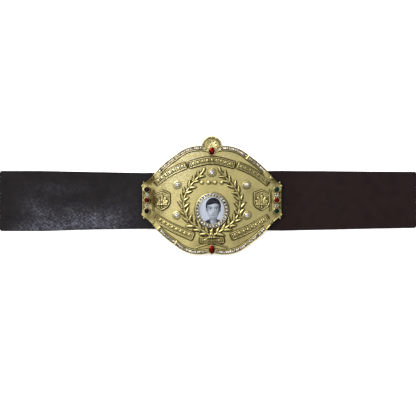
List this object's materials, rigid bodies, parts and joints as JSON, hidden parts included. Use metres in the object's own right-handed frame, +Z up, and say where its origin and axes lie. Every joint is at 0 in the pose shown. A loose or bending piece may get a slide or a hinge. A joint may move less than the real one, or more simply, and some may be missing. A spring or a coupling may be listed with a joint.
{
  "type": "championship title belt",
  "caption": "Curved gold plate with raised banners, laurels, shields, a portrait medallion and rows of set stones, riveted to a plain leather strap and lying face up.",
  "frame": {"origin": "under the middle of the whole belt's box, on the surface it lies on", "axes": "+X along the strap, towards the right as the face is read; +Y towards the crest; +Z up, out of the plate's face"},
  "size_m": [0.811, 0.2292, 0.0285],
  "materials": {
    "strap": "satin, lightly scuffed",
    "gold": "gold plated cast metal, polished relief with dark recesses",
    "crystal": "clear cut glass",
    "red_stone": "red cut glass",
    "dark_stone": "near black cut glass",
    "green_stone": "dark green cut glass",
    "picture": "matte print",
    "rivet": "nickel plated"
  },
  "bodies": {
    "root": {"strap": "strap", "main_plate": "gold", "crest_medallion": "gold", "stone_row_top_left_inner": "crystal", "stone_row_top_left_outer": "crystal", "stone_row_top_right_inner": "crystal", "stone_row_top_right_outer": "crystal", "stone_row_bottom_left_inner": "crystal", "stone_row_bottom_left_outer": "crystal", "stone_row_bottom_right_inner": "crystal", "stone_row_bottom_right_outer": "crystal", "clear_stone_top": "crystal", "clear_stone_upper_left": "crystal", "clear_stone_upper_right": "crystal", "clear_stone_lower_left": "crystal", "clear_stone_lower_right": "crystal", "small_stones_left_upper": "crystal", "small_stones_left_lower": "crystal", "small_stones_right_upper": "crystal", "small_stones_right_lower": "crystal", "portrait_stone_ring": "crystal", "portrait_lens": "crystal", "crest_jewel": "red_stone", "bottom_jewel": "red_stone", "end_stone_left_middle": "red_stone", "end_stone_right_middle": "red_stone", "end_stone_left_top": "dark_stone", "end_stone_left_bottom": "dark_stone", "end_stone_right_top": "green_stone", "end_stone_right_bottom": "green_stone", "portrait_picture": "picture", "rivet_left_top": "rivet", "rivet_left_bottom": "rivet", "rivet_centre_top": "rivet", "rivet_centre_bottom": "rivet", "rivet_right_top": "rivet", "rivet_right_bottom": "rivet"}
  },
  "joints": []
}
